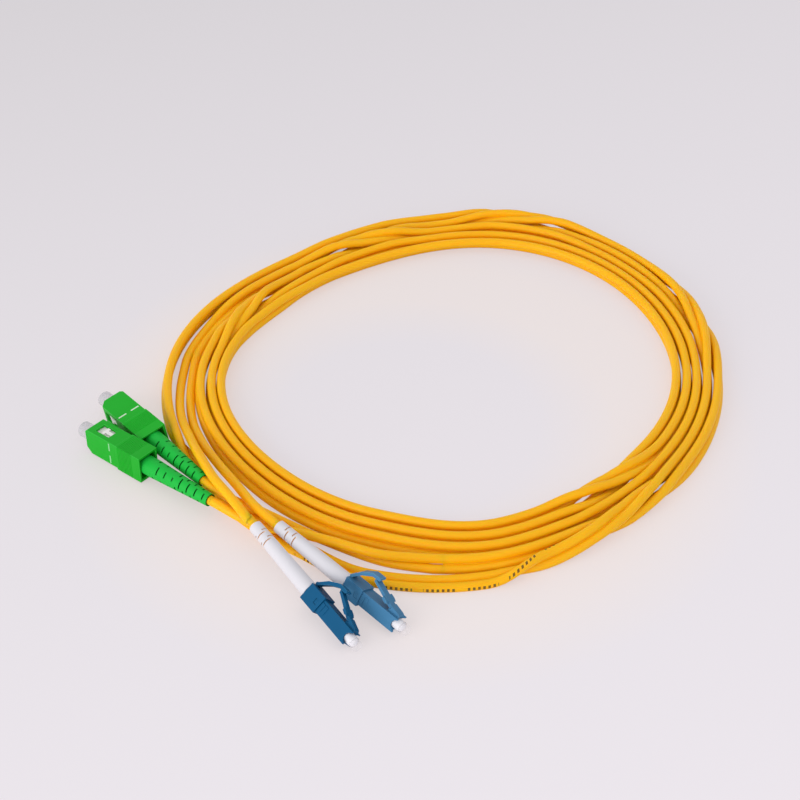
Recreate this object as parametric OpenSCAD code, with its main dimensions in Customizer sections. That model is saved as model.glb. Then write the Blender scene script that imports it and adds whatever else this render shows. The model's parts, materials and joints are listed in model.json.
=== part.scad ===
// Duplex fibre optic patch cord: two green angled SC plugs, a coiled yellow
// two-fibre zip cord, and two blue LC plugs. Millimetres, +Z up.
// The origin is on the table, under the middle of the whole object.
// Every plug is drawn along +X with its key or latch towards +Z, and is then laid down.

/* [Cord] */
// Diameter of one jacket
jacket_d = 3.0; // [2.8:0.1:3.2]
// Diameter of the buffered fibre inside a jacket
fibre_d = 0.9; // [0.6:0.1:1.0]
// Mean radius of the outermost turn
coil_r = 93.8; // [90:0.2:98]
// Distance between neighbouring turns
lane_pitch = 4.0; // [3.9:0.1:4.3]
// Wander of that distance round the coil
pitch_swing = 0.5; // [0:0.1:0.6]
// Lean of the standing pair towards the middle of the coil
pair_lean = 18; // [0:1:18]
// How much less it leans at the sides, and more at the front and back
lean_swing = 8; // [0:1:8]
// Rings of the swept cord in one turn
rings_per_turn = 48; // [36:1:54]

/* [SC plug] */
// Length of the sliding grip
sc_l = 25; // [24:0.5:26]
// Width of the grip across its keyed face
sc_w = 9.0; // [8.8:0.1:9.4]
// Height of the grip across its windows
sc_h = 7.4; // [7.2:0.1:7.8]
// Length of the ribbed rear part of the grip
sc_rib_l = 10.8; // [9:0.2:12]
// How far the ribbed part stands proud
sc_rib_step = 0.25; // [0.1:0.05:0.4]
// Number of fine ribs
sc_ribs = 10; // [6:1:12]
// Travel of the grip when it is pulled back
sc_pull = 2.0; // [1:0.1:2.5]
// Wall of the grip at its keyed face
sc_wall = 0.75; // [0.6:0.05:0.9]
// Length of the window in the side of the grip
sc_window_l = 6.0; // [5:0.2:6.4]
// Width of that window
sc_window_w = 3.8; // [3:0.1:4.2]
// Outside diameter of the boot at its root
sc_boot_root_d = 6.2; // [5.8:0.1:6.3]
// Outside diameter of the boot at its tail
boot_tail_d = 4.2; // [4.0:0.1:4.6]
// Length of the boot behind the grip
sc_boot_l = 27; // [24:0.5:32]
// Diameter of the ceramic ferrule
sc_ferrule_d = 2.5; // [2.3:0.1:2.6]
// Angle of the polished end
sc_polish_angle = 8; // [0:1:9]

/* [LC plug] */
// Length of the whole plug body
lc_l = 21; // [20:0.5:23]
// Side of the square front body
lc_front_w = 4.52; // [4.4:0.02:4.6]
// Length of the front body ahead of the rear body
lc_front_l = 14; // [13:0.2:15]
// Side of the rear body
lc_rear_w = 5.6; // [5.5:0.1:5.8]
// Thickness of the latch arm
lc_latch_t = 0.9; // [0.7:0.05:1.1]
// Width of the latch arm
lc_latch_w = 2.2; // [1.8:0.1:2.6]
// Thickness of the trigger arm
lc_trigger_t = 1.0; // [0.8:0.05:1.1]
// Width of the trigger arm
lc_trigger_w = 2.8; // [2.2:0.1:3.4]
// Outside diameter of the boot at its root
lc_boot_root_d = 5.2; // [4.8:0.1:5.4]
// Length of the boot behind the body
lc_boot_l = 30; // [27:0.5:33]
// Diameter of the ceramic ferrule
lc_ferrule_d = 1.25; // [1.2:0.05:1.4]

/* [Caps and springs] */
// Outside diameter of an SC dust cap
sc_cap_d = 5.2; // [4.9:0.1:5.5]
// How far an SC dust cap stands out of the plug
sc_cap_l = 5.4; // [4:0.2:7]
// Outside diameter of an LC dust cap
lc_cap_d = 3.4; // [3.2:0.1:3.6]
// How far an LC dust cap stands out of the plug
lc_cap_l = 3.6; // [3:0.2:5]
// Wire of the ferrule springs
spring_wire = 0.4; // [0.3:0.05:0.45]
// Curls of each ferrule spring
spring_curls = 5; // [4:1:6]
// Clearance between parts that slide
slide_gap = 0.15; // [0.1:0.05:0.2]

/* [Hidden] */
eps = 0.01;
round_fn = 64;
small_fn = 32;

// ---- Where everything lies ----
// The layout was drawn about this point, which is moved to the origin
datum = [2.9, -2.44, 0];
coil_centre = [16, 10, 0] - datum;
// The plugs lie in the corner between the coil's tangents at these two angles
corner_angles = [203, 247];
corner_way = (corner_angles[0] + corner_angles[1]) / 2;
corner = coil_centre
    + coil_r / cos((corner_angles[1] - corner_angles[0]) / 2) * [cos(corner_way), sin(corner_way), 0];
// Each plug: place of its rear face from that corner, heading, nose-down pitch and roll
sc_poses = [[-24.3, 22.8, 141.2, 1.6, 92.2], [-23.6, 34.7, 130.8, 2.4, 173]];
lc_poses = [[29.4, -32, -54, 5.5, -50.5], [40.3, -28.5, -44.2, 5.5, -28]];

function rot_x(p, a) = [p.x, p.y * cos(a) - p.z * sin(a), p.y * sin(a) + p.z * cos(a)];
function rot_y(p, a) = [p.x * cos(a) + p.z * sin(a), p.y, p.z * cos(a) - p.x * sin(a)];
function rot_z(p, a) = [p.x * cos(a) - p.y * sin(a), p.x * sin(a) + p.y * cos(a), p.z];
// A point of a plug, turned as the plug lies
function turned(p, pose) = rot_z(rot_y(rot_x(p, pose[4]), pose[3]), pose[2]);
// Height of the plug's rear centre when the lowest of its given corners is on the table
function rest_height(corners, pose) = -min([for (c = corners) turned(c, pose).z]);
function plug_point(p, pose, up) = corner + [pose[0], pose[1], up] + turned(p, pose);

// Corners a plug may rest on
sc_key_w = 2.0;
sc_key_h = 0.65;
sc_key_front = sc_l - 1.5;
sc_corners = concat(
    [for (y = [-sc_w / 2, sc_w / 2], z = [-sc_h / 2, sc_h / 2]) [sc_key_front, y, z]],
    [for (y = [-sc_key_w / 2, sc_key_w / 2]) [sc_key_front, y, sc_h / 2 + sc_key_h]]
);
lc_corners = [for (y = [-lc_front_w / 2, lc_front_w / 2], z = [-lc_front_w / 2, lc_front_w / 2]) [lc_l, y, z]];
sc_up = [for (pose = sc_poses) rest_height(sc_corners, pose)];
lc_up = [for (pose = lc_poses) rest_height(lc_corners, pose)];

module place(pose, up) {
    translate(corner + [pose[0], pose[1], up])
        rotate([0, 0, pose[2]])
            rotate([0, pose[3], 0])
                rotate([pose[4], 0, 0])
                    children();
}

// ---- The coil ----
// One turn is a smooth ring whose radius wanders; the harmonics are [cos, sin] millimetres
harmonics = [[0.36, 1.23], [-0.93, 4.25], [-1.68, 0.52], [0.89, -0.89]];
// The cord enters the coil at the near side, and leaves it on the left four turns later
turn_start = -92;
turn_end = 172 + 4 * 360;
// Lane of each pass as it starts; lane 1 is the outermost
start_lanes = [2, 1, 4, 5, 3];
// Places where two neighbouring turns roll over each other:
// [angle, half spread, outer lane, direction, push outwards]
swaps = [
    [-52, 24, 1, 1, 0], [-48, 22, 4, -1, 0], [20, 24, 1, -1, 0.6],
    [70, 20, 1, 1, 0], [112, 20, 2, -1, 0], [153, 19, 3, 1, 0.45]
];
// Stretches of the winding that lie flat: [from, to, ramp, shift inwards]
flats = [[211, 240, 14, 1.4], [254, 276, 14, -1.5], [turn_end - 8, turn_end + 60, 22, 0]];
strand_spacing = jacket_d + 0.1;
// The cord settles a tenth of its jacket into its flat underside
sink = jacket_d / 10;
// Distance between two turns while one rolls over the other
roll_spacing = jacket_d + 0.75;
// Extra inset of the inner lanes on the left, where the second lane leaves
left_inset = 4.2;
left_share = 0.48;

function eased(t) = let (c = min(max(t, 0), 1)) c * c * (3 - 2 * c);
function outer_radius(a) = coil_r
    + sum_list([for (i = [0:3]) harmonics[i].x * cos((i + 1) * a) + harmonics[i].y * sin((i + 1) * a)]);
function sum_list(v, i = 0) = i == len(v) ? 0 : v[i] + sum_list(v, i + 1);
function pitch_at(a) = lane_pitch - pitch_swing * cos(2 * a);
function inset_bump(a) = let (t = (a + 720) % 360) eased((t - 122) / 34) * eased((282 - t) / 30);
function lane_share(lane) =
    lane <= 1 ? 0 : lane <= 2 ? left_share * (lane - 1) : min(1, left_share + (1 - left_share) * (lane - 2));
function lane_radius(lane, a) =
    outer_radius(a) - (lane - 1) * pitch_at(a) - left_inset * inset_bump(a) * lane_share(lane);
function flat_share(a, f) = eased((a - f[0] + f[2]) / f[2]) * eased((f[1] + f[2] - a) / f[2]);
function flatness(a) = sum_list([for (f = flats) flat_share(a, f)]);
function flat_shift(a) = sum_list([for (f = flats) flat_share(a, f) * f[3]]);

// All pairs stand upright through most of each roll-over, and lean between them
upright_early = 1.6;
function rolling_share(a) = min(1, upright_early * max([for (s = swaps)
    sin(180 * eased((a - s[0] + s[1]) / (2 * s[1])))]));

// State of a pass: [lane, side of its rolling pair, twist, rolling angle, direction, push]
function lane_state(a, lane, i = 0, twist = 0) =
    i == len(swaps) ? [lane, 0, twist, 0] :
    let (
        swap = swaps[i],
        outer = lane == swap[2],
        inner = lane == swap[2] + 1,
        roll = 180 * eased((a - swap[0] + swap[1]) / (2 * swap[1]))
    )
    !outer && !inner || roll == 0 ? lane_state(a, lane, i + 1, twist) :
    roll == 180 ? lane_state(a, lane + (outer ? 1 : -1), i + 1, twist + 180 * swap[3]) :
    let (side = outer ? 1 : -1)
        [swap[2] + 0.5, side, twist + roll * swap[3], roll, swap[3], swap[4]];
function pass_twist(p) = p == 0 ? 0 : pass_twist(p - 1) + lane_state(turn_start + 360, start_lanes[p - 1])[2];

// Centre, and direction of the pair's own width, of the cord at a winding angle
function cord_frame(a) =
    let (
        p = min(floor((a - turn_start) / 360), len(start_lanes) - 1),
        turn = a - 360 * p,
        state = lane_state(turn, start_lanes[p]),
        flat = flatness(a),
        tilt = (pair_lean - lean_swing * cos(2 * a)) * (1 - flat) * (1 - rolling_share(turn)),
        lean = 90 + pass_twist(p) + state[2] + tilt - 90 * flat,
        rolling = state[1] != 0,
        spread = rolling ? state[1] * cos(state[3]) * pitch_at(turn) / 2 + state[5] * sin(state[3]) : 0,
        lift = rolling ? (1 + state[1] * state[4]) * sin(state[3]) * roll_spacing / 2 : 0,
        rest = jacket_d / 2 + strand_spacing / 2 * abs(sin(lean)) - sink,
        radius = lane_radius(state[0], turn) + spread - flat_shift(a)
    )
    [coil_centre + [radius * cos(a), radius * sin(a), rest + lift], a, lean];
function across(frame, v) = frame[0]
    + v * [cos(frame[2]) * cos(frame[1]), cos(frame[2]) * sin(frame[1]), sin(frame[2])];
function facing(frame, u) =
    u * [-sin(frame[2]) * cos(frame[1]), -sin(frame[2]) * sin(frame[1]), cos(frame[2])];
function above(p) = [p.x, p.y, max(p.z, 0)];
// Outline of the two jackets and the web between them: [through, across] in jacket radii
zip_outline = [
    [1, 1.03], [0.5, 1.9], [-0.5, 1.9], [-1, 1.03], [-0.4, 0],
    [-1, -1.03], [-0.5, -1.9], [0.5, -1.9], [1, -1.03], [0.4, 0]
];
coil_steps = round((turn_end - turn_start) / 360 * rings_per_turn);
coil_angles = [for (i = [0:coil_steps]) turn_start + (turn_end - turn_start) * i / coil_steps];

// Triangles that close a stack of equal rings, fanned shut at both ends
function stack_faces(rings, sides) = concat(
    [for (i = [1:sides - 2]) [0, i, i + 1]],
    [for (r = [0:rings - 2], i = [0:sides - 1])
        let (a = r * sides + i, b = r * sides + (i + 1) % sides)
        each [[a, a + sides, b], [b, a + sides, b + sides]]],
    [for (i = [1:sides - 2]) [(rings - 1) * sides, (rings - 1) * sides + i + 1, (rings - 1) * sides + i]]
);
module swept(rings) {
    sides = len(rings[0]);
    polyhedron(points = [for (ring = rings) each ring], faces = stack_faces(len(rings), sides), convexity = 10);
}

module duplex_cord() {
    color("#E8A812")
        swept([for (a = coil_angles)
            let (frame = cord_frame(a))
            [for (o = zip_outline) above(across(frame, o.y * jacket_d / 2) + facing(frame, o.x * jacket_d / 2))]
        ]);
}

// Least distance between strands of different passes at one angle, for the record
pass_angles = [for (i = [0:95]) turn_start + i * 3.75];
function strand_points(a) = let (f = cord_frame(a)) [across(f, strand_spacing / 2), across(f, -strand_spacing / 2)];
coil_gap = min([for (a = pass_angles)
    let (all = [for (p = [0:4]) if (a + 360 * p <= turn_end) strand_points(a + 360 * p)])
    min([for (i = [0:len(all) - 2], j = [i + 1:len(all) - 1], s = [0, 1], t = [0, 1])
        norm(all[i][s] - all[j][t])])
]) - jacket_d;
coil_length = sum_list([for (i = [1:len(coil_angles) - 1])
    norm(cord_frame(coil_angles[i])[0] - cord_frame(coil_angles[i - 1])[0])]);
echo(coil_gap = coil_gap, coil_length = coil_length);

// ---- The four split legs ----
// Where each leg runs beside the coil: angle, distance outside the outermost turn, height
sc_beside = [
    [[255.9, -5.6, 4.4], [246.4, -5.7, 4.6], [239.8, -3.9, 4.7]],
    [[255.8, -6.1, 1.2], [242.9, -7.9, 1.3], [235.4, -7.0, 2]]
];
lc_beside = [
    [[183.8, -4.5, 1.3], [194.1, -3.8, 3.4], [204, -3.2, 5.7]],
    [[185.3, -8, 1.3], [194.9, -7.2, 1.9], [203.7, -6.6, 4]]
];
// Where it then crosses to its boot, from the corner that the plugs lie in
sc_across = [
    [[16.5, -5, 4.6], [8.5, -2, 5]],
    [[12.5, 3, 4], [4.5, 6.5, 5]]
];
lc_across = [
    [[-7.8, 23.3, 8.8], [-2.5, 11.7, 10.4], [2.9, 4.1, 9.8], [9.1, -4.7, 8.7]],
    [[-2.9, 24.1, 5.6], [4.1, 12.1, 7.4], [10.4, 1.8, 8.2]]
];
leg_sides = 8;
leg_parts = 3;
// Plug lengths behind the rear face at which each jacket comes out of its boot
jacket_out = 1;

function beside(p) = coil_centre
    + [(outer_radius(p[0]) + p[1]) * cos(p[0]), (outer_radius(p[0]) + p[1]) * sin(p[0]), p[2]];
function leaves(a, k) = strand_points(a)[k];
function along(a, way) = way * [-sin(a), cos(a), 0];
// A smooth curve through the points, three pieces to a span
function curve(p) = concat([p[0]], [for (i = [1:len(p) - 3], j = [0:leg_parts - 1])
    let (t = j / leg_parts, a = p[i - 1], b = p[i], c = p[i + 1], d = p[i + 2])
    b + (c - a) * t / 2 + (a * 2 - b * 5 + c * 4 - d) * t * t / 2 + (b * 3 - a - c * 3 + d) * t * t * t / 2],
    [p[len(p) - 2], p[len(p) - 1]]);
function unit(v) = v / norm(v);
function cross_dir(p, i, from, to) = i == 0 ? from : i == len(p) - 1 ? to : unit(p[i + 1] - p[i - 1]);
module leg(start, from, beside_coil, across_corner, finish, to) {
    lead = jacket_d;
    path = curve(concat(
        [start, start + from * lead], [for (p = beside_coil) beside(p)],
        [for (p = across_corner) corner + p], [finish - to * lead, finish]
    ));
    color("#E8A812")
        swept([for (i = [0:len(path) - 1])
            let (
                dir = cross_dir(path, i, from, to),
                side = unit(cross(dir, [0, 0, 1])),
                up = cross(side, dir)
            )
            [for (k = [0:leg_sides - 1])
                let (a = (k + 0.5) * 360 / leg_sides)
                above(path[i] + (up * cos(a) + side * sin(a)) * jacket_d / 2)]
        ]);
}
module sc_leg(n) {
    leg(leaves(turn_start, n == 0 ? 0 : 1), along(turn_start, -1), sc_beside[n], sc_across[n],
        plug_point([-sc_boot_l - jacket_out, 0, 0], sc_poses[n], sc_up[n]), turned([1, 0, 0], sc_poses[n]));
}
module lc_leg(n) {
    leg(leaves(turn_end, n == 0 ? 0 : 1), along(turn_end, 1), lc_beside[n], lc_across[n],
        plug_point([-lc_boot_l - jacket_out, 0, 0], lc_poses[n], lc_up[n]), turned([1, 0, 0], lc_poses[n]));
}

// ---- What both kinds of plug share ----
// Every round piece lies along +X from its first to its last position
module rod(d, from, to, fn = round_fn) {
    translate([from, 0, 0])
        rotate([0, 90, 0])
            cylinder(h = to - from, d = d, $fn = fn);
}
module cone_rod(d1, d2, from, to) {
    translate([from, 0, 0])
        rotate([0, 90, 0])
            cylinder(h = to - from, d1 = d1, d2 = d2, $fn = round_fn);
}
module block(from, to, w, h) {
    translate([from, -w / 2, -h / 2])
        cube([to - from, w, h]);
}
fit_gap = 0.02;
fibre_bore = fibre_d + 0.1;
crimp_d = jacket_d + 0.9;
jacket_bore = fibre_bore + 0.1;
boot_bore = jacket_d + 0.15;
ferrule_travel = 1.0;
cap_clear = 0.1;
cap_round = 0.4;

module crimp(from, to) {
    color("#B08D57")
        difference() {
            rod(crimp_d, from, to);
            rod(jacket_d + fit_gap, from - 1, to + 1);
            for (ring = [from + 0.9, from + 2.1])
                translate([ring, 0, 0])
                    rotate([0, 90, 0])
                        difference() {
                            cylinder(h = 0.5, d = crimp_d + 1, $fn = small_fn);
                            translate([0, 0, -1])
                                cylinder(h = 3, d = crimp_d - 0.3, $fn = small_fn);
                        }
        }
}
module jacket_end(from, to) {
    color("#E8A812")
        difference() {
            rod(jacket_d, from, to);
            rod(jacket_bore, from - 1, to + 1);
        }
}
module fibre(from, to) {
    color("#F0F0EC")
        rod(fibre_d, from, to, small_fn);
}
// Ceramic ferrule with a chamfered and angle-polished end
module ferrule(d, from, to, angle) {
    chamfer = 0.3;
    color("#F4F4F0")
        difference() {
            union() {
                rod(d, from, to - chamfer);
                cone_rod(d, d - 2 * chamfer, to - chamfer, to);
            }
            translate([to, 0, 0])
                rotate([0, -angle, 0])
                    translate([0, -d, -2 * d])
                        cube([d, 2 * d, 4 * d]);
        }
}
// Metal holder pressed on the ferrule, with the tube the fibre comes in through
module flange(d, ferrule_d, tube_d, from, to, tube_from, seat) {
    color("#C8CACC")
        difference() {
            union() {
                rod(d, from, to);
                rod(tube_d, tube_from, from + eps);
            }
            rod(ferrule_d, seat, to + 1);
            rod(fibre_bore, tube_from - 1, to);
            for (side = [0:3])
                rotate([45 + 90 * side, 0, 0])
                    translate([from - 1, d / 2 - 0.25, -0.3])
                        cube([to - from + 2, 1, 0.6]);
        }
}
// Compression spring drawn as an unbroken wire with flat-running ends
spring_sides = 6;
spring_steps = 8;
module spring(mean_r, from, to) {
    wire_r = spring_wire / 2;
    turns = spring_curls;
    start = from + wire_r + 0.03;
    rise = to - from - spring_wire - 0.06;
    color("#B8BABC")
        swept([for (i = [0:turns * spring_steps])
            let (a = i * 360 / spring_steps, x = start + rise * i / (turns * spring_steps))
            [for (k = [0:spring_sides - 1])
                let (b = k * 360 / spring_sides, r = mean_r + wire_r * sin(b))
                [x + wire_r * cos(b), r * cos(a), r * sin(a)]]
        ]);
}
// Backpost: a ring pressed in the body, a collar and the tail the crimp closes on
module backpost(ring_d, collar_d, ring_to, ring_from, collar_from, tail_from, bore) {
    color("#D0D2D4")
        difference() {
            union() {
                rod(ring_d, ring_from - eps, ring_to);
                rod(collar_d, collar_from, ring_from);
                rod(jacket_d, tail_from, collar_from + eps);
            }
            rod(bore, collar_from + 0.6, ring_to + 1);
            rod(jacket_d - 1, tail_from - 1, ring_to);
        }
}

// ---- SC plug ----
sc_front = sc_l - 0.6;
sc_cavity_w = sc_w - 2 * sc_wall - 0.2;
sc_cavity_h = sc_h - 2 * sc_wall;
sc_frame_w = sc_cavity_w - 2 * slide_gap;
sc_frame_h = sc_cavity_h - 2 * slide_gap;
sc_bore = sc_frame_h - 1.0;
sc_frame_from = 4;
sc_ring_to = 6.5;
sc_flange_from = 10.5;
sc_seat = 10.9;
sc_shoulder = 12.5;
sc_shoulder_l = 1.0;
sc_rear_open_l = 1.5 + sc_pull + 0.3;
sc_boot_in = 1.5;
sc_window_from = sc_l - 9.2;
sc_tail_from = -3.5;
sc_crimp_from = -6.2;
sc_boot_straight = 3.2;

module sc_grip() {
    color("#22AB2E")
        difference() {
            union() {
                block(0, sc_l, sc_w, sc_h);
                // Prouder rear section with its plain rear band
                block(0, sc_rib_l, sc_w + 2 * sc_rib_step, sc_h + 2 * sc_rib_step);
                translate([sc_l / 2, -sc_key_w / 2, sc_h / 2 - eps])
                    cube([sc_key_front - sc_l / 2, sc_key_w, sc_key_h + eps]);
            }
            // Inside: the frame's cavity and the wider mouth for the boot
            block(sc_rear_open_l, sc_l + 1, sc_cavity_w, sc_cavity_h);
            block(-1, sc_rear_open_l + eps, sc_w - 1.1, sc_boot_root_d + 0.4);
            // Windows that show the frame's catches
            block(sc_window_from, sc_window_from + sc_window_l, sc_w + 2, sc_window_w);
            sc_rib_grooves();
            // Pockets of the two white marks, and the chamfered nose corners
            sc_mark_bars(0.2 + eps);
            sc_nose_chamfer(-1, 2.0);
            sc_nose_chamfer(1, 0.8);
        }
}
sc_rib_from = 3.6;
module sc_rib_grooves() {
    groove = 0.2;
    rib_pitch = (sc_rib_l - 0.8 - sc_rib_from) / sc_ribs;
    for (i = [0:sc_ribs - 1])
        translate([sc_rib_from + rib_pitch * i, 0, 0])
            difference() {
                block(0, rib_pitch / 2, sc_w + 4, sc_h + 4);
                block(-1, rib_pitch, sc_w + 2 * sc_rib_step - 2 * groove, sc_h + 2 * sc_rib_step - 2 * groove);
            }
}
module sc_mark_bars(depth) {
    for (side = [-1, 1])
        translate([sc_l - 11.2, side * 2.45 - 1.5, -sc_h / 2 - (depth > 0.2 ? eps : 0)])
            cube([0.5, 3, depth]);
}
module sc_nose_chamfer(side, size) {
    translate([sc_l, side * sc_w / 2, 0])
        rotate([0, 0, 45])
            cube([size * sqrt(2), size * sqrt(2), sc_h + 3], center = true);
}
module sc_marks() {
    color("#F4F4F4")
        sc_mark_bars(0.2);
}
// Inner frame: a bored block with two T-shaped catches that stand in the windows
module sc_plug_frame() {
    catch_from = sc_window_from + 0.2;
    catch_l = sc_window_l - sc_pull - 0.4;
    color("#F4F4F4")
        difference() {
            union() {
                block(sc_frame_from, sc_front, sc_frame_w, sc_frame_h);
                block(catch_from, catch_from + catch_l, sc_w - 0.5, sc_window_w / 3);
                block(catch_from + catch_l - 1.1, catch_from + catch_l, sc_w - 0.5, sc_window_w - 0.5);
            }
            rod(sc_bore, sc_frame_from - 1, sc_shoulder);
            rod(sc_ferrule_d + 0.9, sc_frame_from, sc_front);
            rod(sc_bore, sc_shoulder + sc_shoulder_l, sc_front + 1);
            for (side = [-1, 1])
                translate([sc_front, side * sc_frame_w / 2, 0])
                    rotate([0, 0, 45])
                        cube([0.9, 0.9, sc_frame_h + 1], center = true);
        }
}
// Boot with four staggered rows of flexing slots
module sc_boot() {
    slot_pitch = 3.2;
    slot_l = 0.55;
    slot_rows = floor((sc_boot_l - 3) / slot_pitch);
    slot_depth_r = jacket_d / 2 + 0.25;
    color("#20C04A")
        difference() {
            union() {
                rod(sc_boot_root_d, -sc_boot_straight, sc_boot_in);
                cone_rod(boot_tail_d, sc_boot_root_d, -sc_boot_l, -sc_boot_straight + eps);
            }
            rod(boot_bore, -sc_boot_l - 1, 0);
            rod(crimp_d + fit_gap, sc_crimp_from - 0.4, sc_boot_in + 1);
            for (i = [0:slot_rows - 1], quarter = [0:3])
                rotate([45 + 90 * quarter, 0, 0])
                    translate([
                        -sc_boot_l + 1.4 + slot_pitch * (i + (quarter % 2) / 2),
                        -sc_boot_root_d / 2,
                        slot_depth_r + (i > slot_rows - 4 ? 0.75 : 0)
                    ])
                        cube([slot_l, sc_boot_root_d, sc_boot_root_d]);
        }
}

// ---- LC plug ----
lc_rear_l = lc_l - lc_front_l;
lc_bore = 3.4;
lc_nose_d = lc_cap_d + 0.2;
// Depth of the scalloped lips at the front: above and below, and at the sides
lc_lips = [0.8, 1.5];
lc_shoulder = lc_rear_l + 7;
lc_spigot_from = 3.4;
lc_spigot_w = lc_front_w - 0.4;
lc_ring_from = lc_spigot_from;
lc_collar_from = 2.3;
lc_ring_to = 7.2;
lc_flange_from = lc_shoulder - 2;
lc_seat = lc_shoulder - 1.5;
lc_tail_from = -5;
lc_crimp_from = -7.6;
arm_lift = 0.62;
arm_barrel_d = 1.1;
latch_root_l = 4.3;
latch_axis = [lc_l - 0.4 - latch_root_l, lc_front_w / 2 + 2 * arm_lift];
trigger_axis = [0.7, lc_rear_w / 2 + arm_lift];
latch_tip = [8.2, 7.35];
trigger_tip = [9.8, 8.5];

module lc_front_body() {
    color("#165C8C")
        difference() {
            union() {
                block(lc_rear_l, lc_l, lc_front_w, lc_front_w);
                block(lc_spigot_from, lc_rear_l + eps, lc_spigot_w, lc_spigot_w);
                // Snap tabs that fill the windows of the rear body
                block(lc_rear_l - 2.2, lc_rear_l - 1, lc_rear_w - 0.3, 1.6);
                // Wedge that the latch bends from
                arm_shape([
                    [latch_axis.x, lc_front_w / 2 - eps], [lc_l - 0.5, lc_front_w / 2 - eps],
                    [lc_l - 0.5, lc_front_w / 2 + 0.5], [lc_l - 1, lc_front_w / 2 + 0.9],
                    [latch_axis.x, latch_axis.y + 0.7]
                ], lc_latch_w + 0.4);
            }
            translate([latch_axis.x, lc_front_w / 2, latch_axis.y])
                rotate([90, 0, 0])
                    cylinder(h = lc_front_w, d = arm_barrel_d + 2 * slide_gap, $fn = small_fn);
            rod(lc_bore, lc_spigot_from - 1, lc_shoulder);
            rod(lc_ferrule_d + 0.75, lc_spigot_from, lc_l);
            rod(lc_nose_d, lc_shoulder + 1, lc_l + 1);
            // Scalloped lips of the front face
            for (quarter = [0, 1])
                rotate([90 * quarter, 0, 0])
                    translate([lc_l + lc_nose_d / 2 + 0.2 - lc_lips[quarter], 0, 0])
                        cylinder(h = lc_front_w + 0.5, d = lc_nose_d + 0.4, center = true, $fn = round_fn);
        }
}
module lc_rear_body() {
    color("#165C8C")
        difference() {
            block(0, lc_rear_l, lc_rear_w, lc_rear_w);
            block(lc_spigot_from - 0.05, lc_rear_l + 1, lc_spigot_w + fit_gap, lc_spigot_w + fit_gap);
            rod(crimp_d + 0.2, -1, lc_spigot_from);
            block(lc_rear_l - 2.3, lc_rear_l - 0.9, lc_rear_w + 1, 1.7);
            for (side = [-1, 1])
                translate([0, side * lc_rear_w / 2, 0])
                    rotate([0, 0, 45])
                        cube([0.5, 0.5, lc_rear_w + 1], center = true);
        }
}
// An arm is its side outline, widened, with a round barrel at its root
module arm_shape(points, w) {
    translate([0, w / 2, 0])
        rotate([90, 0, 0])
            linear_extrude(w)
                polygon(points);
}
module arm_barrel(axis, w) {
    translate([axis.x, w / 2, axis.y])
        rotate([90, 0, 0])
            cylinder(h = w, d = arm_barrel_d, $fn = small_fn);
}
module lc_latch() {
    t = lc_latch_t;
    shoulder = latch_axis + [-1.3, 1.15];
    color("#165C8C") {
        arm_barrel(latch_axis, lc_latch_w);
        arm_shape([
            latch_axis + [0, arm_barrel_d / 2], shoulder, latch_tip + [0.4, 0.1], latch_tip, latch_tip - [0, t * 0.7],
            shoulder - [0.6, t], latch_axis - [0.2, arm_barrel_d / 2]
        ], lc_latch_w);
        // Catches either side of the arm
        arm_shape([
            shoulder + [0.7, -0.6], shoulder, shoulder + [-1.6, 0.6], shoulder + [-1.6, 0.6 - t], shoulder - [0.2, t]
        ], lc_front_w - 0.2);
    }
}
module lc_trigger() {
    t = lc_trigger_t;
    knee = [3.6, 6.4];
    bend = [7, 8.2];
    color("#165C8C") {
        arm_barrel(trigger_axis, lc_trigger_w);
        arm_shape([
            trigger_axis - [arm_barrel_d / 2, 0], knee + [-t * 0.45, t * 0.2], bend + [-0.3, t * 0.45],
            trigger_tip + [0, 0.2], trigger_tip + [0.3, -0.3], trigger_tip - [0, t * 0.8],
            bend + [0.2, -t * 0.6], knee + [t * 0.4, -t * 0.6], trigger_axis + [arm_barrel_d / 2, 0]
        ], lc_trigger_w);
    }
}
// Smooth tapered boot with a few thin slots near its tail
module lc_boot() {
    slots = 2;
    slot_pitch = 3.2;
    slot_l = 0.4;
    color("#DCDCE2")
        difference() {
            cone_rod(boot_tail_d, lc_boot_root_d, -lc_boot_l, -0.05);
            rod(boot_bore, -lc_boot_l - 1, 0);
            rod(crimp_d + fit_gap, lc_crimp_from - 0.4, 1);
            for (i = [0:slots - 1], quarter = [0:3])
                rotate([90 * quarter, 0, 0])
                    translate([
                        -lc_boot_l + 3.4 + slot_pitch * i + (quarter % 2) * 1.1,
                        -lc_boot_root_d / 2, jacket_d / 2 - 0.25
                    ])
                        cube([slot_l, lc_boot_root_d, lc_boot_root_d]);
        }
}

// ---- Placed pieces ----
module in_sc(n) {
    place(sc_poses[n], sc_up[n])
        children();
}
module in_lc(n) {
    place(lc_poses[n], lc_up[n])
        children();
}
module sc_dust_cap() {
    color("#F2F2F0")
        difference() {
            union() {
                rod(sc_bore - 2 * slide_gap, sc_shoulder + sc_shoulder_l + 2, sc_front + 0.2);
                rod(sc_cap_d, sc_front + 0.1, sc_l + sc_cap_l - cap_round);
                cone_rod(sc_cap_d, sc_cap_d - 2 * cap_round, sc_l + sc_cap_l - cap_round, sc_l + sc_cap_l);
            }
            rod(sc_ferrule_d + 2 * cap_clear, sc_shoulder, sc_l);
        }
}
module lc_dust_cap() {
    color("#F2F2F0")
        difference() {
            union() {
                rod(lc_cap_d, lc_shoulder + 1.4, lc_l + lc_cap_l - cap_round);
                cone_rod(lc_cap_d, lc_cap_d - 2 * cap_round, lc_l + lc_cap_l - cap_round, lc_l + lc_cap_l);
            }
            rod(lc_ferrule_d + 2 * cap_clear, lc_shoulder, lc_l);
        }
}
module sc_ferrule() {
    ferrule(sc_ferrule_d, sc_seat, sc_l - 1.1, sc_polish_angle);
}
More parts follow.
